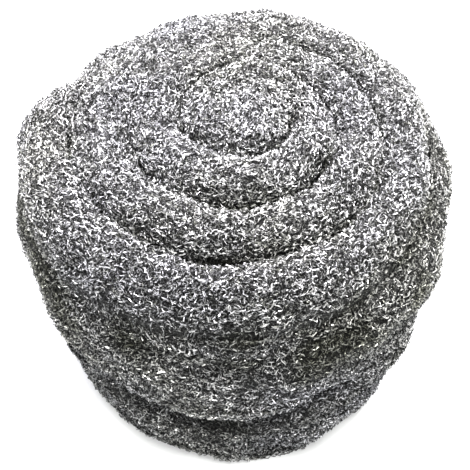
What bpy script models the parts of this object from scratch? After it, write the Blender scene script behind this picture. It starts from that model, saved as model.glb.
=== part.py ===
"""A steel wool roll: one long strip of steel wool wound up on itself, standing on its end.

The strip is lofted section by section along its winding, from the core out to the free end.
Each turn lies against the turn inside it with a hairline gap, so the roll is one solid.
"""

import math

import bmesh
import bpy

# Overall sizes of the roll, in metres; the strip's width stands upright
ROLL_DIAMETER = 0.1240
BASE_DIAMETER = 0.1127
ROLL_HEIGHT = 0.103
BELLY_HEIGHT = 0.044

# The winding: tight at the core and looser, so thicker, with every turn
CORE_THICKNESS = 0.0026
CORE_PITCH = 0.0098
PITCH_GROWTH = 0.0017
TURN_GAP = 0.0004
EYE_RADIUS = 0.0005
FREE_END_THICKNESS = 0.0007
START_ANGLE = math.radians(-72)

# The rounded top edge of the strip: turns stand proud, with a valley between neighbours
VALLEY_DEPTH = 0.0055
VALLEY_UNEVENNESS = 0.3
DEEPEST_VALLEY_ANGLE = math.radians(-110)
CREST_FULLNESS = 0.75
CREST_WAVE = 0.0010
SLOW_WAVES_PER_TURN = 1.7
QUICK_WAVES_PER_TURN = 3.3
DOME_RISE = 0.009
RIM_POWER = 6.0

# The rounded bottom edge, which the roll's weight presses flat in the middle
FOOT_ROUNDING = 0.0022
RIM_FOOT_ROUNDING = 0.0060

# Creases round the outer turn: height away from the front, sag, where it sags most, and depth
CREASES = (
    (0.099, 0.008, math.radians(-125), 0.0020),
    (0.086, 0.014, math.radians(-95), 0.0040),
    (0.054, 0.018, math.radians(-108), 0.0036),
)
CREASE_HALF_WIDTH = 0.0050
SAG_SPREAD = math.radians(42)
FADE_SPREAD = math.radians(75)

# Soft gathers all over the outer turn: height of a wave, waves round the roll, and phase
GATHERS = ((0.026, 3, 0.53), (0.017, -5, 1.98), (0.034, 8, 0.25))
GATHER_DEPTH = 0.0015

# How far the roll is from perfectly round and upright
OVAL_DEPTH = 0.0007
OVAL_ANGLE = math.radians(62)
THREE_LOBE_DEPTH = 0.0008
THREE_LOBE_ANGLE = math.radians(-63)
CORE_SHIFT_X = 0.0035
MIDDLE_SLUMP = 0.0045

# How quickly the shapes run into each other
TUCK_POWER = 1.2
EYE_BLEND_TURNS = 0.08
EXPOSED_BLEND_TURNS = 0.12
CREASED_SHARE_OF_RADIUS = 0.3
CREASED_SHARE_OF_THICKNESS = 0.55
LARGEST_SHARE_OF_THICKNESS = 1 / 3

# Fineness of the loft
CORE_TURNS = 2
CORE_SECTIONS_PER_TURN = 24
COVERED_SECTIONS_PER_TURN = 32
OUTSIDE_SECTIONS = 52
WALL_STATIONS = 3
WALL_STEPS_PER_STATION = 4
CAP_POINTS = 13

ROLL_RADIUS = ROLL_DIAMETER / 2
SHOULDER_RISE = ROLL_HEIGHT - BELLY_HEIGHT - DOME_RISE
BASE_SHARE = BASE_DIAMETER / ROLL_DIAMETER


def smooth_step(share):
    share = min(max(share, 0.0), 1.0)
    return share * share * (3 - 2 * share)


def mix(first, second, share):
    return first + (second - first) * share


def winding_radius(turns):
    """Radius of the strip's outer face where it is covered, after so many turns."""
    return CORE_THICKNESS + CORE_PITCH * turns + PITCH_GROWTH * turns * turns / 2


def turns_at_radius(radius):
    """Inverse of winding_radius."""
    wound = 2 * (radius - CORE_THICKNESS)
    return wound / (CORE_PITCH + math.sqrt(CORE_PITCH ** 2 + PITCH_GROWTH * wound))


# The strip ends where the last turn has thinned to the free end's thickness
COVERED_TURNS = turns_at_radius(ROLL_RADIUS - TURN_GAP - FREE_END_THICKNESS)
STRIP_TURNS = COVERED_TURNS + 1


def exposure(turns):
    """0 where the next turn covers the strip, 1 where the strip is the outside of the roll."""
    return smooth_step((turns - COVERED_TURNS) / EXPOSED_BLEND_TURNS)


def outer_radius(turns):
    covered = min(winding_radius(turns), ROLL_RADIUS)
    return mix(covered, ROLL_RADIUS, exposure(turns))


def inner_radius(turns):
    if turns < 1:
        opening = smooth_step((turns - 1 + EYE_BLEND_TURNS) / EYE_BLEND_TURNS)
        return mix(EYE_RADIUS, winding_radius(0) + TURN_GAP, opening)
    return winding_radius(turns - 1) + TURN_GAP


def dome_height(radius, rim_radius):
    """Height of the roll's top surface: a low dome that rounds over into the wall at the rim."""
    share = min(radius / rim_radius, 1.0)
    shoulder = SHOULDER_RISE * (1 - share ** RIM_POWER) ** (1 / RIM_POWER)
    return BELLY_HEIGHT + shoulder + DOME_RISE * (1 - share ** 2)


def tuck_at(height):
    """Share of its belly radius that the roll keeps at a height on its way down to the base."""
    rise = max(BELLY_HEIGHT - height, 0.0) / BELLY_HEIGHT
    return 1 - (1 - BASE_SHARE) * rise ** TUCK_POWER


def barrel(height):
    """Share of its belly radius that every turn has at a height, straight between stations."""
    position = min(max(height / BELLY_HEIGHT, 0.0), 1.0) * WALL_STATIONS
    below = min(int(position), WALL_STATIONS - 1)
    low = tuck_at(BELLY_HEIGHT * below / WALL_STATIONS)
    high = tuck_at(BELLY_HEIGHT * (below + 1) / WALL_STATIONS)
    return mix(low, high, position - below)


def crease(angle, height):
    """Depth of the creases at a place on the outside of the roll."""
    drawn = 0.0
    for level, sag, sag_angle, depth in CREASES:
        turned = math.remainder(angle - sag_angle, 2 * math.pi)
        sagged = level - sag * math.exp(-((turned / SAG_SPREAD) ** 2))
        away = (height - sagged) / CREASE_HALF_WIDTH
        drawn += depth * math.exp(-away * away - (turned / FADE_SPREAD) ** 2)
    return drawn


def gather(angle, height):
    """How far the wool bunches out at a place on the outside of the roll."""
    bunched = 0.0
    for wave_height, waves_round, phase in GATHERS:
        bunched += math.sin(2 * math.pi * height / wave_height + waves_round * angle + phase)
    return GATHER_DEPTH * bunched / len(GATHERS)


def crest_wave(turns):
    """Rise and fall of the strip's top edge along the winding."""
    slow = math.sin(2 * math.pi * SLOW_WAVES_PER_TURN * turns)
    quick = math.sin(2 * math.pi * QUICK_WAVES_PER_TURN * turns + 1)
    return CREST_WAVE * (slow + quick) / 2


def winding_angle(turns):
    return START_ANGLE - 2 * math.pi * turns


def valley_depth(turns):
    """Depth of the valleys between turns, which are deepest at the front left."""
    towards_deepest = math.cos(winding_angle(turns) - DEEPEST_VALLEY_ANGLE)
    return VALLEY_DEPTH * (1 + VALLEY_UNEVENNESS * towards_deepest)


def covered_cap(turns, inner, outer):
    """Rounded top of a turn between two valleys, from its outer face to its inner face."""
    middle = (inner + outer) / 2
    half = (outer - inner) / 2
    valley = valley_depth(turns) * min(1.0, 2 * half / CORE_PITCH)
    points = []
    for index in range(CAP_POINTS):
        swing = math.pi * index / (CAP_POINTS - 1)
        radius = middle + half * math.cos(swing)
        sunk = valley * (1 - max(math.sin(swing), 0.0) ** CREST_FULLNESS)
        height = dome_height(radius, ROLL_RADIUS) - sunk + crest_wave(turns)
        points.append((radius, height))
    return points


def exposed_cap(turns, inner, outer):
    """Shoulder of the outside turn, from the belly up and over to the valley at its inner face."""
    inner_share = inner / outer
    last_swing = math.atan2((1 - inner_share ** RIM_POWER) ** (1 / RIM_POWER), inner_share)
    points = []
    for index in range(1, CAP_POINTS + 1):
        share = index / CAP_POINTS
        across = math.cos(last_swing * share)
        up = math.sin(last_swing * share)
        reach = (across ** RIM_POWER + up ** RIM_POWER) ** (-1 / RIM_POWER)
        radius = outer * across * reach
        sunk = valley_depth(turns) * max(2 * share - 1, 0.0) ** 2
        height = dome_height(radius, outer) - sunk + crest_wave(turns) * share
        points.append((radius, height))
    return points


def strip_section(turns):
    """Closed outline of the strip, as radius and height: base, outer wall, cap, inner wall."""
    inner = inner_radius(turns)
    outer = outer_radius(turns)
    shown = exposure(turns)
    room = (outer - inner) * LARGEST_SHARE_OF_THICKNESS
    foot_inner = min(FOOT_ROUNDING, room)
    foot_outer = min(mix(FOOT_ROUNDING, RIM_FOOT_ROUNDING, shown), room)
    corner = 1 - math.sqrt(0.5)

    section = [
        (inner + foot_inner, 0.0),
        (outer - foot_outer, 0.0),
        (outer - foot_outer * corner, foot_outer * corner),
        (outer, foot_outer),
    ]
    wall_steps = WALL_STATIONS * WALL_STEPS_PER_STATION
    for step in range(1, wall_steps + 1):
        section.append((outer, BELLY_HEIGHT * step / wall_steps))
    covered = covered_cap(turns, inner, outer)
    exposed = exposed_cap(turns, inner, outer)
    for hidden, open_air in zip(covered, exposed):
        radius = mix(hidden[0], open_air[0], shown)
        height = mix(hidden[1], open_air[1], shown)
        section.append((radius, height))
    for station in range(WALL_STATIONS, 0, -1):
        section.append((inner, BELLY_HEIGHT * station / WALL_STATIONS))
    section.append((inner, foot_inner))
    section.append((inner + foot_inner * corner, foot_inner * corner))
    return section


def drawn_in(turns, angle, radius, height):
    """How far creases and gathers draw a point in, or out below zero, on the last turn's face."""
    outer = outer_radius(turns)
    thickness = outer - inner_radius(turns)
    deepest = thickness * CREASED_SHARE_OF_THICKNESS
    from_outside = (1 - radius / outer) / CREASED_SHARE_OF_RADIUS
    swelling = gather(angle, height) * min(1.0, thickness / CORE_PITCH)
    depth = min(crease(angle, height) - swelling, deepest)
    return depth * exposure(turns) * smooth_step(1 - from_outside)


def place(turns, radius, height):
    """Point of the winding in space, with the roll's creases, lobes and uneven winding.

    The core lies off centre towards +X, and the turns half way out slump towards -Y.
    """
    angle = winding_angle(turns)
    share = radius / ROLL_RADIUS
    lobes = OVAL_DEPTH * math.cos(2 * (angle - OVAL_ANGLE))
    lobes += THREE_LOBE_DEPTH * math.cos(3 * (angle - THREE_LOBE_ANGLE))
    rounded = radius + lobes * share
    reach = (rounded - drawn_in(turns, angle, radius, height)) * barrel(height)
    x = reach * math.cos(angle) + CORE_SHIFT_X * (1 - share)
    y = reach * math.sin(angle) - MIDDLE_SLUMP * math.sin(math.pi * share) ** 2
    return x, y, height


def loft_positions():
    """Turn counts at which the strip gets a section: few at the core, most on the outside."""
    core_steps = CORE_TURNS * CORE_SECTIONS_PER_TURN
    positions = [step / CORE_SECTIONS_PER_TURN for step in range(core_steps)]
    covered_steps = round((COVERED_TURNS - CORE_TURNS) * COVERED_SECTIONS_PER_TURN)
    for step in range(covered_steps):
        positions.append(mix(CORE_TURNS, COVERED_TURNS, step / covered_steps))
    for step in range(OUTSIDE_SECTIONS + 1):
        positions.append(mix(COVERED_TURNS, STRIP_TURNS, step / OUTSIDE_SECTIONS))
    return positions


def build_strip():
    """Loft the strip through its sections and close it at the core and at the free end."""
    mesh_data = bmesh.new()
    rings = []
    for turns in loft_positions():
        ring = []
        for radius, height in strip_section(turns):
            ring.append(mesh_data.verts.new(place(turns, radius, height)))
        rings.append(ring)

    for ring, following in zip(rings, rings[1:]):
        for index, corner in enumerate(ring):
            beside = (index + 1) % len(ring)
            mesh_data.faces.new((corner, following[index], following[beside], ring[beside]))
    mesh_data.faces.new(rings[0])
    mesh_data.faces.new(reversed(rings[-1]))
    bmesh.ops.recalc_face_normals(mesh_data, faces=mesh_data.faces)
    return mesh_data


def stand_on_origin(mesh_data):
    """Move the roll so that the middle of its bounding box stands over the origin."""
    across = [corner.co.x for corner in mesh_data.verts]
    along = [corner.co.y for corner in mesh_data.verts]
    middle = ((min(across) + max(across)) / 2, (min(along) + max(along)) / 2, 0.0)
    bmesh.ops.translate(mesh_data, verts=mesh_data.verts, vec=[-value for value in middle])


def steel_wool_material():
    material = bpy.data.materials.new("steel_wool")
    material.use_nodes = True
    surface = material.node_tree.nodes["Principled BSDF"]
    surface.inputs["Base Color"].default_value = (0.36, 0.36, 0.37, 1)
    surface.inputs["Roughness"].default_value = 0.55
    surface.inputs["Metallic"].default_value = 0.9
    return material


def build_roll():
    mesh_data = build_strip()
    stand_on_origin(mesh_data)
    mesh = bpy.data.meshes.new("steel_wool_roll")
    mesh_data.to_mesh(mesh)
    mesh_data.free()
    mesh.shade_smooth()
    mesh.set_sharp_from_angle(angle=math.radians(50))
    mesh.materials.append(steel_wool_material())
    roll = bpy.data.objects.new("steel_wool_roll", mesh)
    bpy.context.scene.collection.objects.link(roll)


for leftover in list(bpy.data.objects):
    bpy.data.objects.remove(leftover)
build_roll()
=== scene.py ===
import math

import bpy
import numpy as np
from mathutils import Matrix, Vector


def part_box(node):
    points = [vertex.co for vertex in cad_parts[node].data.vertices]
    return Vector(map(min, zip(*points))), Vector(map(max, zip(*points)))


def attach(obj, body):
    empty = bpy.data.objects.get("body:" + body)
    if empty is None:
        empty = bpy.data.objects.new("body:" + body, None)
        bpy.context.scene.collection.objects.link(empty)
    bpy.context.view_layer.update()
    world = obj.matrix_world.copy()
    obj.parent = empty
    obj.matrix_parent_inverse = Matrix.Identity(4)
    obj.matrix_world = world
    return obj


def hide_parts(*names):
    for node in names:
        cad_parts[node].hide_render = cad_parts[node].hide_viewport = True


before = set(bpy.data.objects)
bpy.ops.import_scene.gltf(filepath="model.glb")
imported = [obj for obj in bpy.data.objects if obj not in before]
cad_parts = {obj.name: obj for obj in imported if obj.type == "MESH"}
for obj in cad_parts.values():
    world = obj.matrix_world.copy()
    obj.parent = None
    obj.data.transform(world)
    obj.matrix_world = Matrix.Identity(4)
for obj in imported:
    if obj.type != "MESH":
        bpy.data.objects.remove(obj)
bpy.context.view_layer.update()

# The wound strip
# A strip of tangled steel shavings, about 100 mm wide, is wound up on itself and stands on its
# edge. It is springy and has no core, tie or glue: each turn only rests against the next, and
# the outside turn stops in a thin torn edge at the -X side.

ROLL_DIAMETER = 0.124
BASE_DIAMETER = 0.1127
ROLL_HEIGHT = 0.103
BELLY_HEIGHT = 0.044
ROLL_RADIUS = ROLL_DIAMETER / 2
BASE_SHARE = BASE_DIAMETER / ROLL_DIAMETER

CORE_THICKNESS = 0.0026
CORE_PITCH = 0.0098
PITCH_GROWTH = 0.0017
TURN_GAP = 0.0004
EYE_RADIUS = 0.0005
FREE_END_THICKNESS = 0.0007
FREE_END_TAPER = 0.97
FREE_END_TAPER_TURNS = 0.035
START_ANGLE = math.radians(-72)

VALLEY_DEPTH = 0.0060
VALLEY_UNEVENNESS = 0.55
DEEPEST_VALLEY_ANGLE = math.radians(-70)
CREST_FULLNESS = 0.9
BRIDGED_SHARE = 0.22
OPEN_EYE_SHARE = 0.35
CREST_WAVE = 0.0010
SLOW_WAVES_PER_TURN = 1.7
QUICK_WAVES_PER_TURN = 3.3
QUICK_WAVE_PHASE = 1
DOME_RISE = 0.009
RIM_POWER = 6.0
SHOULDER_RISE = ROLL_HEIGHT - BELLY_HEIGHT - DOME_RISE

FOOT_ROUNDING = 0.0022
RIM_FOOT_ROUNDING = 0.0060
FOOT_LIFT = 0.0006
SLIT_DEPTH = 0.006

# Each crease: its height away from the front, its sag, where it sags most, and its depth
CREASES = (
    (0.099, 0.008, math.radians(-125), 0.0020),
    (0.086, 0.014, math.radians(-95), 0.0040),
    (0.054, 0.018, math.radians(-108), 0.0036),
)
CREASE_HALF_WIDTH = 0.0064
SAG_SPREAD = math.radians(42)
FADE_SPREAD = math.radians(75)
CREASED_SHARE_OF_RADIUS = 0.3
CREASED_SHARE_OF_THICKNESS = 0.55

# Each set of gathers: the height of a wave, the waves round the roll, and the phase
GATHERS = ((0.026, 3, 0.53), (0.017, -5, 1.98), (0.034, 8, 0.25))
GATHER_DEPTH = 0.0015

OVAL_DEPTH = 0.0007
OVAL_ANGLE = math.radians(62)
THREE_LOBE_DEPTH = 0.0008
THREE_LOBE_ANGLE = math.radians(-63)
CORE_SHIFT_X = 0.0035
MIDDLE_SLUMP = 0.0045
TUCK_POWER = 1.2
EYE_BLEND_TURNS = 0.08
EXPOSED_BLEND_TURNS = 0.12
LARGEST_SHARE_OF_THICKNESS = 1 / 3

# How open to the air each part of the strip is, and the shade painted into its colour: how deep it is
# in each place and how unevenly
SLIT_AIR = 0.3
FOOT_CORNER_AIR = 0.3
FOOT_RIM_AIR = 0.6
# Painted shade of the foot, of the valleys between the turns and of the wool under each crease, and
# its patches
FOOT_PAINTED_SHADE = 0.5
FOOT_CORNER_PAINTED_SHADE = 0.8
FOOT_RIM_PAINTED_SHADE = 0.6
MEAN_VALLEY_SHADE = 0.65
VALLEY_SHADE_SWING = 0.35
VALLEY_SHADE_POWER = 0.95
CREASE_PAINTED_SHADE = 1.5
SHADE_DROP = 0.004
MEAN_PAINTED_SHADE_PATCH = 0.85
PATCH_STRENGTH = 0.3
PATCH_SIZE = 0.02
PATCH_SEED = 8

# The uneven surface: the size and depth of its lumps, and the bundles of fibres along it
LUMPS = ((0.024, 0.0005), (0.010, 0.00012))
LUMP_WAVES = 40
LUMP_SIZE_SPREAD = (0.6, 1.4)
BUNDLE_DEPTH = 0.00016
BUNDLE_WAVES = 36
BUNDLE_WIDTHS = (0.0022, 0.0065)
BUNDLE_LENGTHS = (0.03, 0.12)
BUNDLE_SEED = 5
BODY_INSET = 0.0014
FLOOR_GAP = 0.0001

SECTIONS_PER_TURN = 150
FOOT_POINTS = 5
WALL_POINTS = 16
CAP_POINTS = 36


def mix(first, second, share):
    return first + (second - first) * share


def smooth_step(share):
    share = np.clip(share, 0.0, 1.0)
    return share * share * (3 - 2 * share)


def winding_radius(turns):
    """Radius of the strip's outer face where it is covered, after so many turns."""
    return CORE_THICKNESS + CORE_PITCH * turns + PITCH_GROWTH * turns * turns / 2


wound = 2 * (ROLL_RADIUS - TURN_GAP - FREE_END_THICKNESS - CORE_THICKNESS)
COVERED_TURNS = wound / (CORE_PITCH + math.sqrt(CORE_PITCH ** 2 + PITCH_GROWTH * wound))
STRIP_TURNS = COVERED_TURNS + 1

turns = np.append(np.arange(0, STRIP_TURNS, 1 / SECTIONS_PER_TURN), STRIP_TURNS)[:, None]
angle = START_ANGLE - 2 * math.pi * turns
shown = smooth_step((turns - COVERED_TURNS) / EXPOSED_BLEND_TURNS)
outer = mix(np.minimum(winding_radius(turns), ROLL_RADIUS), ROLL_RADIUS, shown)
opening = smooth_step((turns - 1 + EYE_BLEND_TURNS) / EYE_BLEND_TURNS)
inner = np.where(
    turns < 1,
    mix(EYE_RADIUS, winding_radius(0) + TURN_GAP, opening),
    winding_radius(turns - 1) + TURN_GAP,
)
near_end = np.clip(1 - (STRIP_TURNS - turns) / FREE_END_TAPER_TURNS, 0, 1)
outer = inner + (outer - inner) * np.sqrt(1 - FREE_END_TAPER * near_end ** 2)


def dome_height(radius, rim_radius):
    """A low dome that rounds over into the wall at the rim."""
    share = np.minimum(radius / rim_radius, 1.0)
    shoulder = SHOULDER_RISE * (1 - share ** RIM_POWER) ** (1 / RIM_POWER)
    return BELLY_HEIGHT + shoulder + DOME_RISE * (1 - share ** 2)


def crest_wave(turns):
    """Rise and fall of the strip's top edge along the winding."""
    slow = np.sin(2 * math.pi * SLOW_WAVES_PER_TURN * turns)
    quick = np.sin(2 * math.pi * QUICK_WAVES_PER_TURN * turns + QUICK_WAVE_PHASE)
    return CREST_WAVE * (slow + quick) / 2


def strip_sections():
    """Radius, height, openness to the air and painted shade of each point round the strip's edge."""
    room = (outer - inner) * LARGEST_SHARE_OF_THICKNESS
    foot_inner = np.minimum(FOOT_ROUNDING, room)
    foot_outer = np.minimum(mix(FOOT_ROUNDING, RIM_FOOT_ROUNDING, shown), room)
    corner = 1 - math.sqrt(0.5)
    none = np.zeros_like(turns)
    columns = []

    def add(radius, height, air, painted_shade):
        columns.append((radius + none, height + none, air + none, painted_shade + none))

    # The foot's points carry painted shade, where the floor and the turns shade them.
    add(inner + foot_inner, FOOT_LIFT, 0.0, FOOT_CORNER_PAINTED_SHADE)
    add((inner + outer) / 2, FOOT_LIFT, 0.0, FOOT_PAINTED_SHADE)
    add(outer - foot_outer, FOOT_LIFT, 0.0, FOOT_CORNER_PAINTED_SHADE)
    rounded = foot_outer * corner
    add(outer - rounded, rounded, shown * FOOT_CORNER_AIR, FOOT_CORNER_PAINTED_SHADE)
    add(outer, foot_outer, shown * FOOT_RIM_AIR, FOOT_RIM_PAINTED_SHADE)
    for step in range(1, WALL_POINTS + 1):
        height = mix(foot_outer, BELLY_HEIGHT, step / WALL_POINTS)
        add(outer, height, shown, 0.0)

    middle = (inner + outer) / 2
    half = (outer - inner) / 2
    towards_deepest = np.cos(angle - DEEPEST_VALLEY_ANGLE)
    valley_depth = VALLEY_DEPTH * (1 + VALLEY_UNEVENNESS * towards_deepest)
    # Valleys are painted in deeper shade towards the front, which the light from behind leaves in
    # shade.
    in_shade = MEAN_VALLEY_SHADE + VALLEY_SHADE_SWING * towards_deepest
    valley = valley_depth * np.minimum(1.0, 2 * half / CORE_PITCH)
    eye_valley = valley * np.where(turns < 1, mix(OPEN_EYE_SHARE, 1.0, opening), 1.0)
    inner_share = inner / outer
    rise_share = (1 - inner_share ** RIM_POWER) ** (1 / RIM_POWER)
    last_swing = np.arctan2(rise_share, inner_share)
    cap_start = dome_height(outer, ROLL_RADIUS) - valley * (1 - BRIDGED_SHARE) + crest_wave(turns)
    above_belly = BELLY_HEIGHT * (1 + 0.5 / WALL_POINTS)
    below_cap = mix(cap_start - SLIT_DEPTH, above_belly, shown)
    # The slit below the cap is painted in shade where the strip is covered.
    add(outer, below_cap, mix(SLIT_AIR, 1.0, shown), 1 - shown)
    for index in range(CAP_POINTS):
        swing = math.pi * index / (CAP_POINTS - 1)
        full = max(math.sin(swing), 0.0) ** CREST_FULLNESS
        covered_radius = middle + half * math.cos(swing)
        near = valley if swing < math.pi / 2 else eye_valley
        sunk_share = (1 - full) * (1 - BRIDGED_SHARE * (1 - full))
        covered_height = dome_height(covered_radius, ROLL_RADIUS) - near * sunk_share
        covered_air = SLIT_AIR + (1 - SLIT_AIR) * full
        # The valleys between the turns are painted in shade.
        covered_shade = (1 - full) ** VALLEY_SHADE_POWER * near / valley

        share = (index + 1) / CAP_POINTS
        across = np.cos(last_swing * share)
        up = np.sin(last_swing * share)
        reach = (across ** RIM_POWER + up ** RIM_POWER) ** (-1 / RIM_POWER)
        open_radius = outer * across * reach
        sunk = max(2 * share - 1, 0.0) ** 2
        open_height = dome_height(open_radius, outer) - valley_depth * sunk
        open_air = 1 - (1 - SLIT_AIR) * sunk * sunk
        open_shade = sunk ** VALLEY_SHADE_POWER
        add(
            mix(covered_radius, open_radius, shown),
            mix(covered_height, open_height, shown) + crest_wave(turns) * mix(1, share, shown),
            mix(covered_air, open_air, shown),
            mix(covered_shade, open_shade, shown) * in_shade,
        )
    # The inner face, in the gap to the turn inside it, is painted in full shade.
    add(inner, columns[-1][1] - SLIT_DEPTH, SLIT_AIR, 1.0)
    add(inner, BELLY_HEIGHT / 2, 0.0, 1.0)
    add(inner, foot_inner, 0.0, 1.0)
    add(inner + foot_inner * corner, foot_inner * corner, 0.0, 1.0)
    return [np.concatenate(part, axis=1) for part in zip(*columns)]


def sagging_band(height, turned, crease, spread, drop):
    """Depth of a crease, or of the shade under it, turned so far from where it sags most."""
    level, sag, _, depth = crease
    middle = level - sag * np.exp(-((turned / spread) ** 2)) - drop
    away = (height - middle) / CREASE_HALF_WIDTH
    return depth * np.exp(-away * away)


def fit_to_frame(points):
    """Stretch the points across to the width and depth of the roll in the frame."""
    low, high = (np.array(corner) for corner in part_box("steel_wool_roll"))
    for axis in (0, 1):
        across = points[..., axis]
        middle = (across.max() + across.min()) / 2
        stretch = (high[axis] - low[axis]) / (across.max() - across.min())
        points[..., axis] = (across - middle) * stretch + (high[axis] + low[axis]) / 2


def strip_surface():
    """Points of the strip's surface, one row for each section, with their air and painted shade."""
    radius, height, air, painted_shade = strip_sections()
    fold = np.zeros_like(height)
    shade = np.zeros_like(height)
    for crease in CREASES:
        turned = (angle - crease[2] + math.pi) % (2 * math.pi) - math.pi
        fade = np.exp(-((turned / FADE_SPREAD) ** 2))
        fold += sagging_band(height, turned, crease, SAG_SPREAD, 0.0) * fade
        # Painted shade under the lip of each crease.
        shade += sagging_band(height, turned, crease, 2 * SAG_SPREAD, SHADE_DROP) * np.sqrt(fade)
    bunched = sum(
        np.sin(2 * math.pi * height / wave_height + waves_round * angle + phase)
        for wave_height, waves_round, phase in GATHERS
    )
    thickness = outer - inner
    swelling = GATHER_DEPTH * bunched / len(GATHERS) * np.minimum(1.0, thickness / CORE_PITCH)
    from_outside = (1 - radius / outer) / CREASED_SHARE_OF_RADIUS
    seen_fold = shown * smooth_step(1 - from_outside)
    deepest = thickness * CREASED_SHARE_OF_THICKNESS
    drawn_in = np.minimum(fold - swelling, deepest) * seen_fold

    lobes = OVAL_DEPTH * np.cos(2 * (angle - OVAL_ANGLE))
    lobes = lobes + THREE_LOBE_DEPTH * np.cos(3 * (angle - THREE_LOBE_ANGLE))
    rise = np.maximum(BELLY_HEIGHT - height, 0.0) / BELLY_HEIGHT
    barrel = 1 - (1 - BASE_SHARE) * rise ** TUCK_POWER
    share = radius / ROLL_RADIUS
    reach = (radius + lobes * share - drawn_in) * barrel
    x = reach * np.cos(angle) + CORE_SHIFT_X * (1 - share)
    y = reach * np.sin(angle) - MIDDLE_SLUMP * np.sin(math.pi * share) ** 2
    points = np.stack((x, y, height), axis=-1)
    fit_to_frame(points)

    # The creases' painted shade joins the strip's own, where the outside turn shows.
    deepest_crease = max(depth for _, _, _, depth in CREASES)
    painted_shade = np.maximum(painted_shade, CREASE_PAINTED_SHADE * shade / deepest_crease * seen_fold)
    return points, air, np.clip(painted_shade, 0, 1)


def lumps(points, size, seed):
    """Smooth random rise and fall over space, of about unit strength, for lumps of one size."""
    waves = np.random.default_rng(seed)
    heading = waves.normal(size=(LUMP_WAVES, 3))
    heading /= np.linalg.norm(heading, axis=1)[:, None]
    heading *= (2 * math.pi / size) * waves.uniform(*LUMP_SIZE_SPREAD, (LUMP_WAVES, 1))
    phase = waves.uniform(0, 2 * math.pi, LUMP_WAVES)
    return np.sin(points @ heading.T + phase).sum(axis=-1) / math.sqrt(LUMP_WAVES / 2)


def bundles(points, turns, seed):
    """Long low ridges where fibres lie together along the strip, of about unit strength."""
    waves = np.random.default_rng(seed)
    steps = np.diff(points, axis=1, prepend=points[:, :1])
    across = np.cumsum(np.linalg.norm(steps, axis=-1), axis=1)
    along = 2 * math.pi * ROLL_RADIUS * turns
    total = np.zeros(across.shape)
    for _ in range(BUNDLE_WAVES):
        wave = 2 * math.pi / waves.uniform(*BUNDLE_WIDTHS)
        drift = 2 * math.pi / waves.uniform(*BUNDLE_LENGTHS) * waves.choice((-1, 1))
        total += np.sin(wave * across + drift * along + waves.uniform(0, 2 * math.pi))
    return total / math.sqrt(BUNDLE_WAVES / 2)


def outward(points):
    """Unit normals of a surface given as rows of points."""
    along = np.gradient(points, axis=0)
    across = np.gradient(points, axis=1)
    normals = np.cross(across, along)
    return normals / np.maximum(np.linalg.norm(normals, axis=-1), 1e-12)[..., None]


strip_points, strip_air, strip_painted_shade = strip_surface()
strip_normals = outward(strip_points)
rise = sum(
    depth * lumps(strip_points, size, seed)
    for seed, (size, depth) in enumerate(LUMPS)
)
rise = rise + BUNDLE_DEPTH * bundles(strip_points, turns, BUNDLE_SEED)
# The painted shade is made uneven in patches.
patches = MEAN_PAINTED_SHADE_PATCH + PATCH_STRENGTH * lumps(strip_points, PATCH_SIZE, PATCH_SEED)
strip_painted_shade = np.clip(strip_painted_shade * patches, 0, 1)
strip_points = strip_points + strip_normals * (rise * strip_air)[..., None]
strip_points[..., 2] = np.maximum(strip_points[..., 2], FLOOR_GAP)
strip_normals = outward(strip_points)
section_count, round_count = strip_points.shape[:2]


def mesh_object(name, corners, faces, smooth):
    """New object from an array of corners and a list of arrays of faces with equal corners."""
    mesh = bpy.data.meshes.new(name)
    loops = np.concatenate([part.ravel() for part in faces])
    counts = np.concatenate([np.full(len(part), part.shape[1]) for part in faces])
    starts = np.concatenate(([0], np.cumsum(counts)[:-1]))
    mesh.vertices.add(len(corners))
    mesh.vertices.foreach_set("co", corners.astype(np.float32).ravel())
    mesh.loops.add(len(loops))
    mesh.loops.foreach_set("vertex_index", loops.astype(np.int32))
    mesh.polygons.add(len(counts))
    mesh.polygons.foreach_set("loop_start", starts.astype(np.int32))
    mesh.polygons.foreach_set("loop_total", counts.astype(np.int32))
    mesh.polygons.foreach_set("use_smooth", np.full(len(counts), smooth))
    mesh.update(calc_edges=True)
    piece = bpy.data.objects.new(name, mesh)
    bpy.context.scene.collection.objects.link(piece)
    return piece


def give_values(piece, name, values):
    """Store one number for each corner of the mesh, for its material to read."""
    layer = piece.data.attributes.new(name, "FLOAT", "POINT")
    layer.data.foreach_set("value", np.ascontiguousarray(values, dtype=np.float32).ravel())


def make_strip_body():
    """The strip's closed surface, drawn in where loose fibres will lie over it."""
    inset = np.minimum(BODY_INSET, (outer - inner) * LARGEST_SHARE_OF_THICKNESS)
    body_points = strip_points - strip_normals * (inset * strip_air)[..., None]
    order = np.arange(section_count * round_count).reshape(section_count, round_count)
    beside = np.roll(order, -1, axis=1)
    sides = np.stack((order[:-1], order[1:], beside[1:], beside[:-1]), axis=-1).reshape(-1, 4)
    ends = np.stack((order[0], order[-1][::-1]))
    body = mesh_object("strip_body", body_points.reshape(-1, 3), [sides, ends], True)
    # The body carries the strip's painted shade for its material.
    give_values(body, "painted_shade", strip_painted_shade)
    return body


# Grey of the steel at each tone from 0 to 1, its tints, the dark olive tint of its painted shade, and
# its finish
TONE_GREYS = ((0.0, 0.012), (0.3, 0.08), (0.55, 0.36), (0.78, 0.86), (1.0, 0.98))
BLUE_SHARE = 1.01
WARM_TINT = (1.0, 0.995, 0.94, 1)
COOL_TINT = (0.965, 0.96, 1.0, 1)
TINT_EDGES = (0.35, 0.65)
TINT_SCALE = 22.0
# Dark olive tint of the painted shade
PAINTED_SHADE_TINT = (0.2, 0.205, 0.16, 1)
DARK_ROUGHNESS = 0.62
BRIGHT_ROUGHNESS = 0.34
STEEL_METALLIC = 0.4
STEEL_SPECULAR = 0.2
GRAIN_SCALE = 1500.0


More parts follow.
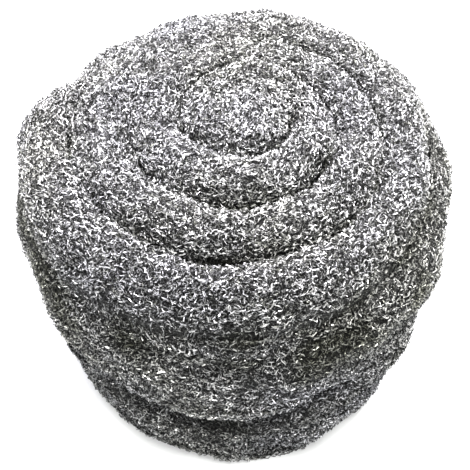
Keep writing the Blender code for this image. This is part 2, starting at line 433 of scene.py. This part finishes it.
def add_node(tree, kind, **values):
    """New shader node, with values given for its sockets or for its own settings."""
    node = tree.nodes.new(kind)
    for name, value in values.items():
        if name in node.inputs:
            node.inputs[name].default_value = value
        else:
            setattr(node, name, value)
    return node


def map_range(tree, value, given, wanted):
    """Output that carries a value over from one range, low to high, to another."""
    node = tree.nodes.new("ShaderNodeMapRange")
    for name, limit in zip(("From Min", "From Max", "To Min", "To Max"), (*given, *wanted)):
        node.inputs[name].default_value = limit
    tree.links.new(value, node.inputs["Value"])
    return node.outputs["Result"]


def steel_tone_group():
    """Colour and roughness of bright drawn steel for a tone from 0 to 1, darkened by painted shade.
    """
    group = bpy.data.node_groups.new("steel_tone", "ShaderNodeTree")
    for name in ("Tone", "Painted_Shade"):
        socket = group.interface.new_socket(name, in_out="INPUT", socket_type="NodeSocketFloat")
        socket.min_value = 0.0
        socket.max_value = 1.0
    group.interface.new_socket("Color", in_out="OUTPUT", socket_type="NodeSocketColor")
    group.interface.new_socket("Roughness", in_out="OUTPUT", socket_type="NodeSocketFloat")
    link = group.links.new
    given = group.nodes.new("NodeGroupInput")
    result = group.nodes.new("NodeGroupOutput")

    ramp = group.nodes.new("ShaderNodeValToRGB")
    while len(ramp.color_ramp.elements) < len(TONE_GREYS):
        ramp.color_ramp.elements.new(0.5)
    for stop, (place, grey) in zip(ramp.color_ramp.elements, TONE_GREYS):
        stop.position = place
        stop.color = (grey, grey, grey * BLUE_SHARE, 1)
    link(given.outputs["Tone"], ramp.inputs["Fac"])

    where = group.nodes.new("ShaderNodeTexCoord")
    patches = add_node(group, "ShaderNodeTexNoise", Scale=TINT_SCALE, Detail=2.0)
    link(where.outputs["Object"], patches.inputs["Vector"])
    tint = group.nodes.new("ShaderNodeValToRGB")
    for stop, place, colour in zip(tint.color_ramp.elements, TINT_EDGES, (WARM_TINT, COOL_TINT)):
        stop.position = place
        stop.color = colour
    link(patches.outputs["Fac"], tint.inputs["Fac"])
    tinted = add_node(group, "ShaderNodeMix", data_type="RGBA", blend_type="MULTIPLY")
    tinted.inputs["Factor"].default_value = 1.0
    link(ramp.outputs["Color"], tinted.inputs["A"])
    link(tint.outputs["Color"], tinted.inputs["B"])

    # The painted shade darkens the colour towards its olive tint.
    shaded_colour = add_node(group, "ShaderNodeMix", data_type="RGBA", blend_type="MULTIPLY")
    shaded_colour.inputs["B"].default_value = PAINTED_SHADE_TINT
    link(given.outputs["Painted_Shade"], shaded_colour.inputs["Factor"])
    link(tinted.outputs["Result"], shaded_colour.inputs["A"])
    link(shaded_colour.outputs["Result"], result.inputs["Color"])

    roughness = (DARK_ROUGHNESS, BRIGHT_ROUGHNESS)
    polish = map_range(group, given.outputs["Tone"], (0.0, 1.0), roughness)
    link(polish, result.inputs["Roughness"])
    return group


steel_tone = steel_tone_group()


def finish_steel(tree, tone, relief, strength, depth):
    """Give a steel surface its colour and roughness by tone, darkened by painted shade, and its bump
    by a relief.
    """
    link = tree.links.new
    surface = tree.nodes["Principled BSDF"]
    surface.inputs["Metallic"].default_value = STEEL_METALLIC
    surface.inputs["Specular IOR Level"].default_value = STEEL_SPECULAR
    # The painted shade stored at the mesh's corners.
    painted_shade = add_node(tree, "ShaderNodeAttribute", attribute_name="painted_shade")
    steel = tree.nodes.new("ShaderNodeGroup")
    steel.node_tree = steel_tone
    link(tone, steel.inputs["Tone"])
    link(painted_shade.outputs["Fac"], steel.inputs["Painted_Shade"])
    link(steel.outputs["Color"], surface.inputs["Base Color"])
    link(steel.outputs["Roughness"], surface.inputs["Roughness"])
    bump = add_node(tree, "ShaderNodeBump", Strength=strength, Distance=depth)
    link(relief, bump.inputs["Height"])
    link(bump.outputs["Normal"], surface.inputs["Normal"])


def deep_wool_grain_and_shade_material():
    """The depth of the strip: fine crossing fibres seen between those on its surface, painted dark as
    their shade, with a random grain.
    """
    material = bpy.data.materials.new("deep_wool_grain_and_shade")
    material.use_nodes = True
    tree = material.node_tree
    where = tree.nodes.new("ShaderNodeTexCoord")
    tangle = add_node(tree, "ShaderNodeTexNoise", Scale=GRAIN_SCALE, Detail=3.0, Distortion=1.2)
    tree.links.new(where.outputs["Object"], tangle.inputs["Vector"])
    # Most of the depth is painted near black, as shade between the surface fibres; the noise gives
    # its random grain.
    tone = map_range(tree, tangle.outputs["Fac"], (0.47, 0.68), (0.0, 0.75))
    finish_steel(tree, tone, tangle.outputs["Fac"], 0.8, 0.0006)
    return material


strip_body = make_strip_body()
strip_body.data.materials.append(deep_wool_grain_and_shade_material())
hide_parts("steel_wool_roll")
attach(strip_body, "root")

# Fibres on the strip's upper edge
# Steel wool is shaved from wire, so a fibre is a kinked three-edged shaving that narrows to a
# point. Most run along the strip and dive in and out of the tangle; nothing but the tangle
# holds them.

FIBRE_RINGS = 2
FIBRE_POINTS = FIBRE_RINGS + 2
FIBRE_EDGES = 3
FLAT_SECTION = np.array(((-0.5, -0.16), (0.5, -0.16), (0.0, 0.34)))
RING_WIDTHS = np.array((1.0, 0.9))
CURL_SPREAD = (0.5, 1.3)
KINK_PACE = (1.3, 2.4)
TWIST_SPREAD = 0.5
SMALLEST_CELL = 1e-4
FIBRE_FLOOR_GAP = 0.00005
MAP_MARGIN = 0.08

FIBRE_WAVE = 0.00035
FIBRE_WAVE_PACE = (1.4, 3.0)
TIP_LIFT_SHARE = 0.25
TIP_DIP = 0.0003
BRIGHTEST_TONE = 1.05
# Painted shade: lower fibres of a layer get a darker tone, and the lowest more painted shade
LAYER_PAINTED_SHADE = 0.3
TONE_SPREAD = 0.18
TOP_LAYER_SHADE_RELIEF = 0.25
COVERED_PAINTED_SHADE = 0.9
COVERED_POWER = 1.3

# Columns of the strip's surface, counted round its edge from the inner corner of its foot
WALL_START = 3
CAP_START = FOOT_POINTS + WALL_POINTS
CAP_LAST = CAP_START + CAP_POINTS
INNER_FACE_START = CAP_LAST + 1

EDGE_FIBRES = 11500
EDGE_FIBRE_LENGTH = (0.0018, 0.0038)
EDGE_FIBRE_WIDTH = (0.00025, 0.00042)
EDGE_FIBRE_LIFT = (-0.0010, 0.0004)
SLIT_SHARE_OF_FIBRES = 0.3

cell_along = np.linalg.norm(np.gradient(strip_points, axis=0), axis=-1)
cell_across = np.linalg.norm(np.roll(strip_points, -1, axis=1) - strip_points, axis=-1)
cell_area = cell_along * cell_across


def on_strip(grid, row, column):
    """Value of a grid over the strip's surface between its rows and columns."""
    low_row = np.clip(row.astype(int), 0, section_count - 2)
    low_column = np.clip(column.astype(int), 0, round_count - 2)
    down = np.clip(row - low_row, 0, 1)
    over = np.clip(column - low_column, 0, 1)
    if grid.ndim == 3:
        down = down[..., None]
        over = over[..., None]
    first = mix(grid[low_row, low_column], grid[low_row, low_column + 1], over)
    second = mix(grid[low_row + 1, low_column], grid[low_row + 1, low_column + 1], over)
    return mix(first, second, down)


def unit(vectors):
    return vectors / np.maximum(np.linalg.norm(vectors, axis=-1), 1e-9)[..., None]


def walk_fibres(draw, count, weight, span, length, stray, curl):
    """Rows and columns of fibres laid along the strip, starting where the weight is high."""
    odds = (weight * cell_area)[:-1, :-1].ravel()
    start = draw.choice(odds.size, count, p=odds / odds.sum())
    row = start // (round_count - 1) + draw.random(count)
    column = start % (round_count - 1) + draw.random(count)
    step = draw.uniform(*length, count) / (FIBRE_POINTS - 1)
    heading = draw.normal(0, stray, count) + math.pi * draw.integers(0, 2, count)
    swing = curl * draw.uniform(*CURL_SPREAD, count)
    phase = draw.uniform(0, 2 * math.pi, count)
    pace = draw.uniform(*KINK_PACE, count)
    last_row = section_count - 1.001
    rows, columns = [row], [column]
    for index in range(1, FIBRE_POINTS):
        turned = heading + swing * np.sin(phase + pace * index)
        per_row = np.maximum(on_strip(cell_along, row, column), SMALLEST_CELL)
        per_column = np.maximum(on_strip(cell_across, row, column), SMALLEST_CELL)
        row = np.clip(row + step * np.cos(turned) / per_row, 0, last_row)
        column = np.clip(column + step * np.sin(turned) / per_column, *span)
        rows.append(row)
        columns.append(column)
    return np.stack(rows, axis=1), np.stack(columns, axis=1)


def draw_sections(draw, count, width):
    """Width of each fibre, and the twist of its section at its start and from ring to ring."""
    widths = draw.uniform(*width, count)
    start = draw.uniform(0, 2 * math.pi, count)
    return widths, np.stack((start, draw.normal(0, TWIST_SPREAD, count)), axis=1)


def shaving_corners(middles, normals, widths, twist):
    """Corners of a three-edged shaving round each row of middle points, from tip to tip."""
    count = len(middles)
    along = unit(np.gradient(middles, axis=1))
    side = unit(np.cross(along, normals))
    up = np.cross(side, along)
    spin = (twist[:, :1] + twist[:, 1:] * np.arange(FIBRE_RINGS))[..., None]
    flat = FLAT_SECTION * RING_WIDTHS[:, None, None] * widths[:, None, None, None]
    across = flat[..., 0] * np.cos(spin) - flat[..., 1] * np.sin(spin)
    above = flat[..., 0] * np.sin(spin) + flat[..., 1] * np.cos(spin)
    ring = middles[:, 1:-1, None, :] + across[..., None] * side[:, 1:-1, None, :]
    ring = ring + above[..., None] * up[:, 1:-1, None, :]
    ring = ring.reshape(count, FIBRE_RINGS * FIBRE_EDGES, 3)
    corners = np.concatenate((middles[:, :1], ring, middles[:, -1:]), axis=1)
    corners[..., 2] = np.maximum(corners[..., 2], FIBRE_FLOOR_GAP)
    return corners


def shaving_faces():
    """Faces of one shaving, four-sided then three-sided, each with its places on a flat map."""
    quads, quad_places = [], []
    for index in range(FIBRE_RINGS - 1):
        here = 1 + index * FIBRE_EDGES
        beyond = here + FIBRE_EDGES
        for edge in range(FIBRE_EDGES):
            other = (edge + 1) % FIBRE_EDGES
            quads.append((here + edge, here + other, beyond + other, beyond + edge))
            quad_places.append(((index + 1, 0), (index + 1, 1), (index + 2, 1), (index + 2, 0)))
    tips, tip_places = [], []
    end = FIBRE_RINGS * FIBRE_EDGES + 1
    last_ring = end - FIBRE_EDGES
    for edge in range(FIBRE_EDGES):
        other = (edge + 1) % FIBRE_EDGES
        tips.append((0, 1 + other, 1 + edge))
        tip_places.append(((0, 0.5), (1, 1), (1, 0)))
        tips.append((end, last_ring + edge, last_ring + other))
        tip_places.append(((FIBRE_RINGS + 1, 0.5), (FIBRE_RINGS, 0), (FIBRE_RINGS, 1)))
    return (quads, quad_places), (tips, tip_places)


def add_flat_map(piece, count, face_places):
    """Flat map of a piece, with a square of its own for each fibre."""
    across_map = math.ceil(math.sqrt(count))
    cell = np.stack((np.arange(count) % across_map, np.arange(count) // across_map), axis=-1)
    places = []
    for part in face_places:
        part = np.array(part, dtype=float)
        part[..., 0] /= FIBRE_RINGS + 1
        part = MAP_MARGIN + (1 - 2 * MAP_MARGIN) * part.reshape(1, -1, 2)
        places.append(((part + cell[:, None, :]) / across_map).reshape(-1, 2))
    flat_map = piece.data.uv_layers.new(name="OFBake")
    flat_map.data.foreach_set("uv", np.concatenate(places).astype(np.float32).ravel())


def fibre_material():
    """Bright shaved steel, with draw marks along each fibre and its own tone for each."""
    material = bpy.data.materials.new("steel_fibre")
    material.use_nodes = True
    tree = material.node_tree
    own = add_node(tree, "ShaderNodeAttribute", attribute_name="tone")
    where = tree.nodes.new("ShaderNodeTexCoord")
    marks = add_node(tree, "ShaderNodeTexNoise", Scale=GRAIN_SCALE, Detail=2.0)
    tree.links.new(where.outputs["Object"], marks.inputs["Vector"])
    varied = map_range(tree, marks.outputs["Fac"], (0.3, 0.7), (-1.05, 0.75))
    tone = add_node(tree, "ShaderNodeMath", operation="ADD", use_clamp=True)
    tree.links.new(own.outputs["Fac"], tone.inputs[0])
    tree.links.new(varied, tone.inputs[1])
    finish_steel(tree, tone.outputs["Value"], marks.outputs["Fac"], 0.3, 0.0001)
    return material


steel_fibre = fibre_material()


def fibre_piece(name, corners, tone, painted_shade):
    """One piece from the corners of its fibres, with a tone and a painted shade at each point."""
    count, each = corners.shape[:2]
    base = (np.arange(count) * each)[:, None, None]
    parts = shaving_faces()
    faces = [(np.array(part) + base).reshape(-1, len(part[0])) for part, _ in parts]
    piece = mesh_object(name, corners.reshape(-1, 3), faces, False)
    add_flat_map(piece, count, [places for _, places in parts])
    spread = np.repeat(np.arange(FIBRE_POINTS), [1] + [FIBRE_EDGES] * FIBRE_RINGS + [1])
    give_values(piece, "tone", np.clip(tone[:, spread], 0, 1))
    give_values(piece, "painted_shade", np.clip(painted_shade[:, spread], 0, 1))
    piece.data.materials.append(steel_fibre)
    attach(piece, "root")


def lay_fibres(name, seed, count, weight, span, length, width, lift, stray, curl, darkest_tone):
    """A layer of fibres over part of the strip, as one piece."""
    draw = np.random.default_rng(seed)
    rows, columns = walk_fibres(draw, count, weight, span, length, stray, curl)
    points = on_strip(strip_points, rows, columns)
    normals = unit(on_strip(strip_normals, rows, columns))
    layer = draw.random((count, 1))
    phase = draw.uniform(0, 2 * math.pi, (count, 1))
    pace = draw.uniform(*FIBRE_WAVE_PACE, (count, 1))
    wave = np.sin(phase + np.arange(FIBRE_POINTS) * pace)
    middle = np.sin(np.linspace(0, math.pi, FIBRE_POINTS))
    height = mix(lift[0], lift[1], layer) * (TIP_LIFT_SHARE + (1 - TIP_LIFT_SHARE) * middle)
    height = height + FIBRE_WAVE * wave - TIP_DIP * (1 - middle)
    points = points + normals * height[..., None]
    widths, twist = draw_sections(draw, count, width)
    # Deeper fibres get a darker tone and more painted shade; the rest of the tone is random.
    tone = draw.uniform(darkest_tone, BRIGHTEST_TONE, (count, 1)) + LAYER_PAINTED_SHADE * (layer - 0.5)
    tone = tone + draw.normal(0, TONE_SPREAD, (count, FIBRE_POINTS))
    painted_shade = on_strip(strip_painted_shade, rows, columns) * (1 - TOP_LAYER_SHADE_RELIEF * layer)
    painted_shade = np.maximum(painted_shade, COVERED_PAINTED_SHADE * (1 - layer) ** COVERED_POWER)
    fibre_piece(name, shaving_corners(points, normals, widths, twist), tone, painted_shade)


column_number = np.arange(round_count)[None, :]
on_cap = (column_number >= CAP_START) & (column_number <= CAP_LAST)
in_slit = (column_number == CAP_START) | (column_number == CAP_LAST)
on_edge = np.where(in_slit, SLIT_SHARE_OF_FIBRES, 1.0) * on_cap * (1 - shown)
for number, seed in ((1, 10), (2, 11)):
    lay_fibres(
        f"edge_fibres_{number}", seed, EDGE_FIBRES,
        weight=on_edge, span=(CAP_START, INNER_FACE_START),
        length=EDGE_FIBRE_LENGTH, width=EDGE_FIBRE_WIDTH, lift=EDGE_FIBRE_LIFT,
        stray=0.85, curl=0.9, darkest_tone=0.25,
    )

# Tuft over the eye
# The strip's first fold is tucked in at the core. Its shavings spring up there and cross over
# the eye in all directions, held only by each other.

TUFT_FIBRES = 1500
TUFT_SPREAD = 0.0042
TUFT_STEP = (0.0007, 0.0013)
TUFT_KINK = 0.5
TUFT_WIDTH = (0.00026, 0.00042)
TUFT_TONE = (0.1, 0.95)
TUFT_RISE = 0.0012
TUFT_FALL = 0.0025
TUFT_RADIUS = 0.0065
TUFT_DEPTHS = (-0.0014, 0.0004)
TUFT_UNEVENNESS = 0.0002
TUFT_PAINTED_SHADE = 0.5
EYE_TURNS = 0.7


def make_tuft(name, seed, count, eye):
    """Fibres that cross over the eye in all directions, on a slight mound."""
    draw = np.random.default_rng(seed)
    each = (count, FIBRE_POINTS)
    heading = draw.uniform(0, 2 * math.pi, (count, 1)) + draw.normal(0, TUFT_KINK, each)
    start = draw.normal(0, TUFT_SPREAD, (count, 2))
    step = draw.uniform(*TUFT_STEP, (count, 1))
    x = eye[0] + start[:, :1] + np.cumsum(step * np.cos(heading), axis=1)
    y = eye[1] + start[:, 1:] + np.cumsum(step * np.sin(heading), axis=1)
    away = np.hypot(x - eye[0], y - eye[1])
    mound = eye[2] + TUFT_RISE - TUFT_FALL * smooth_step(away / TUFT_RADIUS)
    depth = draw.uniform(*TUFT_DEPTHS, (count, 1))
    z = mound + depth + draw.normal(0, TUFT_UNEVENNESS, each)
    middles = np.stack((x, y, z), axis=-1)
    normals = np.zeros_like(middles)
    normals[..., 2] = 1
    widths, twist = draw_sections(draw, count, TUFT_WIDTH)
    tone = draw.uniform(*TUFT_TONE, (count, 1)) + draw.normal(0, TONE_SPREAD, each)
    # Deeper fibres of the tuft are painted in shade.
    painted_shade = np.clip(depth / TUFT_DEPTHS[0], 0, 1) * TUFT_PAINTED_SHADE + np.zeros(each)
    fibre_piece(name, shaving_corners(middles, normals, widths, twist), tone, painted_shade)


core_rows = turns[:, 0] < EYE_TURNS
make_tuft("core_tuft", 15, TUFT_FIBRES, strip_points[core_rows][:, CAP_LAST].mean(axis=0))

# Fibres over the shoulder of the outside turn
# The outside turn bends in over the roll at its top, and its face is teased up there by
# handling, so the shavings are loose.

SHOULDER_FIBRES = 11000

valley_share = np.where(column_number == CAP_LAST, SLIT_SHARE_OF_FIBRES, 1.0)
on_shoulder = valley_share * on_cap * shown
for number, seed in ((1, 12), (2, 13)):
    lay_fibres(
        f"shoulder_fibres_{number}", seed, SHOULDER_FIBRES,
        weight=on_shoulder, span=(CAP_START - 4, INNER_FACE_START),
        length=EDGE_FIBRE_LENGTH, width=EDGE_FIBRE_WIDTH, lift=EDGE_FIBRE_LIFT,
        stray=0.8, curl=0.9, darkest_tone=0.2,
    )

# Fibres on the outside face
# The roll's wall is the face of the strip's outside turn, with nothing round it. Most of its
# steel shavings lie roughly along the winding, matted into those below them.

FACE_FIBRES = 9800

on_wall = (column_number >= WALL_START) & (column_number < CAP_START)
for number, seed in ((1, 21), (2, 22)):
    # The wall's fibres reach a darker tone than those on the top, which widens their random grain and
    # partly paints the wall's shade.
    lay_fibres(
        f"face_fibres_{number}", seed, FACE_FIBRES,
        weight=on_wall * shown, span=(WALL_START - 1, CAP_START + 3),
        length=(0.0018, 0.0036), width=(0.00026, 0.00044), lift=(-0.0012, 0.0005),
        stray=0.85, curl=1.0, darkest_tone=0.0,
    )

# Frayed end of the strip
# The strip is torn off by hand, which pulls long steel shavings out of it. They lie loose over
# the end, down on the turn below it.

END_FIBRES = 2400
END_FRAY_TURNS = 0.016
END_FRAY_SHIFT = 0.003

from_end = (turns - COVERED_TURNS - END_FRAY_SHIFT) / END_FRAY_TURNS
at_end_line = np.exp(-(from_end ** 2))
lay_fibres(
    "frayed_end_fibres", 41, END_FIBRES,
    weight=at_end_line * (on_wall | on_cap), span=(WALL_START, INNER_FACE_START),
    length=(0.005, 0.0095), width=(0.00028, 0.00044), lift=(0.0001, 0.0012),
    stray=0.7, curl=0.8, darkest_tone=0.1,
)

# Pressed fibres of the foot
# The roll stands on the lower edge of the strip. Its own weight presses the steel shavings
# there flat against each other.

FOOT_FIBRES = 3600

on_foot = (column_number < WALL_START) | (column_number >= INNER_FACE_START + 3)
lay_fibres(
    "foot_fibres", 31, FOOT_FIBRES,
    weight=on_foot, span=(0, WALL_START),
    length=(0.005, 0.009), width=(0.0003, 0.0005), lift=(0.0, 0.0003),
    stray=0.6, curl=0.6, darkest_tone=0.2,
)

# Floor, light and camera
# The roll stands on a plain white surface. A broad light shines from above and behind on the
# right, a smaller one from overhead, and a faintly lilac one from behind on the left.

FLOOR_REACH = 1.3
FLOOR_ROUGHNESS = 0.9
FLOOR_SPECULAR = 0.1
FLOOR_BOUNCE_COLOUR = (0.15, 0.17, 0.17, 1)
FLOOR_SEEN_COLOUR = (0.5, 0.51, 0.51, 1)
FLOOR_GLOW = 0.5
WORLD_STRENGTH = 0.08
WHITE = (1, 1, 1, 1)


def seen_rays(tree, path):
    """Output that is 1 for what is seen, reflected or seen through, and 0 for bounced light."""
    first = add_node(tree, "ShaderNodeMath", operation="MAXIMUM")
    tree.links.new(path.outputs["Is Camera Ray"], first.inputs[0])
    tree.links.new(path.outputs["Is Glossy Ray"], first.inputs[1])
    second = add_node(tree, "ShaderNodeMath", operation="MAXIMUM")
    tree.links.new(first.outputs["Value"], second.inputs[0])
    tree.links.new(path.outputs["Is Transmission Ray"], second.inputs[1])
    return second.outputs["Value"]


def floor_material():
    material = bpy.data.materials.new("white_floor")
    material.use_nodes = True
    tree = material.node_tree
    surface = tree.nodes["Principled BSDF"]
    surface.inputs["Roughness"].default_value = FLOOR_ROUGHNESS
    surface.inputs["Specular IOR Level"].default_value = FLOOR_SPECULAR
    path = tree.nodes.new("ShaderNodeLightPath")
    shade = add_node(tree, "ShaderNodeMix", data_type="RGBA")
    shade.inputs["A"].default_value = FLOOR_BOUNCE_COLOUR
    shade.inputs["B"].default_value = FLOOR_SEEN_COLOUR
    tree.links.new(seen_rays(tree, path), shade.inputs["Factor"])
    tree.links.new(shade.outputs["Result"], surface.inputs["Base Color"])
    surface.inputs["Emission Color"].default_value = WHITE
    glow = add_node(tree, "ShaderNodeMath", operation="MULTIPLY")
    glow.inputs[1].default_value = FLOOR_GLOW
    tree.links.new(path.outputs["Is Camera Ray"], glow.inputs[0])
    tree.links.new(glow.outputs["Value"], surface.inputs["Emission Strength"])
    return material


def make_floor():
    corners = FLOOR_REACH * np.array(((-1, -1, 0), (1, -1, 0), (1, 1, 0), (-1, 1, 0)))
    floor = mesh_object("floor", corners, [np.array(((0, 1, 2, 3),))], False)
    floor.data.materials.append(floor_material())


def make_world():
    world = bpy.data.worlds.new("studio")
    bpy.context.scene.world = world
    world.use_nodes = True
    tree = world.node_tree
    tree.nodes.clear()
    path = tree.nodes.new("ShaderNodeLightPath")
    strength = map_range(tree, seen_rays(tree, path), (0.0, 1.0), (WORLD_STRENGTH, 1.0))
    light = add_node(tree, "ShaderNodeBackground", Color=WHITE)
    tree.links.new(strength, light.inputs["Strength"])
    result = tree.nodes.new("ShaderNodeOutputWorld")
    tree.links.new(light.outputs["Background"], result.inputs["Surface"])


def make_light(name, place, size, power, colour):
    """Square lamp that faces the middle of the roll."""
    lamp = bpy.data.lights.new(name, "AREA")
    lamp.size = size
    lamp.energy = power
    lamp.color = colour
    light = bpy.data.objects.new(name, lamp)
    light.location = place
    aim = Vector((0, 0, ROLL_HEIGHT / 2)) - Vector(place)
    light.rotation_euler = aim.to_track_quat("-Z", "Y").to_euler()
    bpy.context.scene.collection.objects.link(light)


make_floor()
make_world()
make_light("key_light", place=(0.4, 0.68, 1.12), size=0.7, power=47.0, colour=(0.98, 0.96, 1.0))
make_light("overhead_light", place=(0.06, -0.26, 1.35), size=0.3, power=29.0, colour=(1.0, 1.0, 0.97))
make_light("left_fill", place=(-0.5, 0.7, 1.1), size=0.6, power=23.0, colour=(0.9, 0.87, 1.0))

VIEW_ELEVATION = math.radians(52.5)
VIEW_DISTANCE = 0.2304
VIEW_AIM = Vector((0, 0, 0.05))
NEAREST_SEEN = 0.01
PICTURE_SIDE = 470
SENSOR_WIDTH = 36
FOCAL_LENGTH_IN_PIXELS = 736
SHIFT_X_IN_PIXELS = 1
SHIFT_Y_IN_PIXELS = -12

camera_data = bpy.data.cameras.new("camera")
camera_data.sensor_width = SENSOR_WIDTH
camera_data.lens = FOCAL_LENGTH_IN_PIXELS / PICTURE_SIDE * SENSOR_WIDTH
camera_data.shift_x = SHIFT_X_IN_PIXELS / PICTURE_SIDE
camera_data.shift_y = SHIFT_Y_IN_PIXELS / PICTURE_SIDE
camera_data.clip_start = NEAREST_SEEN
camera = bpy.data.objects.new("camera", camera_data)
bpy.context.scene.collection.objects.link(camera)
back = Vector((0, -math.cos(VIEW_ELEVATION), math.sin(VIEW_ELEVATION)))
camera.location = VIEW_AIM + back * VIEW_DISTANCE
camera.rotation_euler = (math.pi / 2 - VIEW_ELEVATION, 0, 0)
bpy.context.scene.camera = camera

bpy.context.scene.view_settings.view_transform = "Standard"
